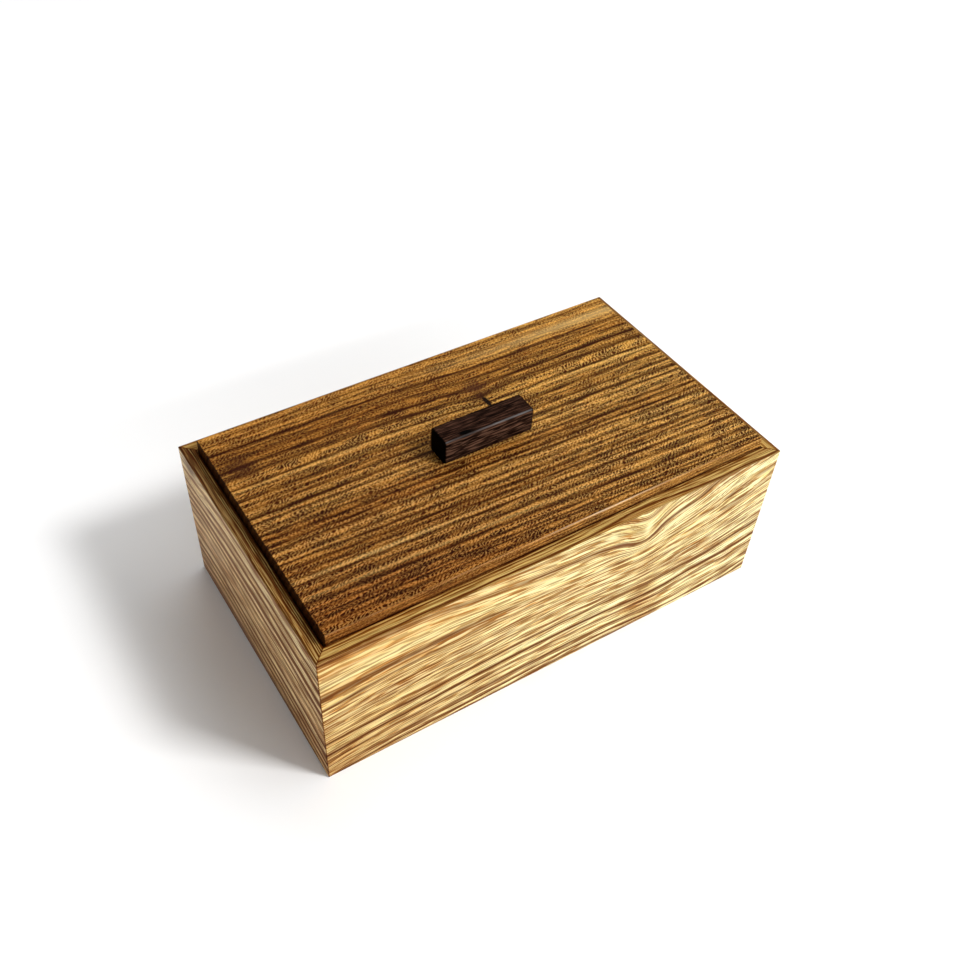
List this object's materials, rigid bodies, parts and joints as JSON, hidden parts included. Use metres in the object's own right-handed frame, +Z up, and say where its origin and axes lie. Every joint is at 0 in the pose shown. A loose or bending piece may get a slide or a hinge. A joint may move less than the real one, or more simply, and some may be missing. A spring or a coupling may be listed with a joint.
{
  "type": "trinket box",
  "caption": "Rectangular wooden keepsake box with mitred walls, a felt-lined compartment and a lift-off lid with a dark wooden bar handle.",
  "frame": {"origin": "on the ground under the middle of the box, the bottom centre of its bounding box", "axes": "+X along the front to the right, the longest side; +Y to the back; +Z up"},
  "size_m": [0.23, 0.135, 0.0983],
  "materials": {
    "figured_wood": "oiled, satin, bold growth rings along the boards",
    "lid_wood": "oiled, satin, fine growth rings with a wavy cross figure",
    "dark_wood": "oiled, satin, near black with fine straight grain",
    "pale_wood": "sanded, unfinished",
    "brass": "turned, satin",
    "felt": "pressed wool felt, dark green"
  },
  "bodies": {
    "box": {"front_wall": "figured_wood", "right_wall": "figured_wood", "back_wall": "figured_wood", "left_wall": "figured_wood", "front_left_tongue": "pale_wood", "front_right_tongue": "pale_wood", "back_left_tongue": "pale_wood", "back_right_tongue": "pale_wood", "base_panel": "pale_wood", "felt_lining": "felt"},
    "lid": {"lid_panel": "lid_wood", "handle": "dark_wood", "handle_screw_left": "brass", "handle_screw_right": "brass"}
  },
  "joints": [
    {"name": "lid_lift", "type": "slide", "parent": "box", "child": "lid", "axis": [0, 0, 1], "range_m": [0, 0.12]}
  ]
}
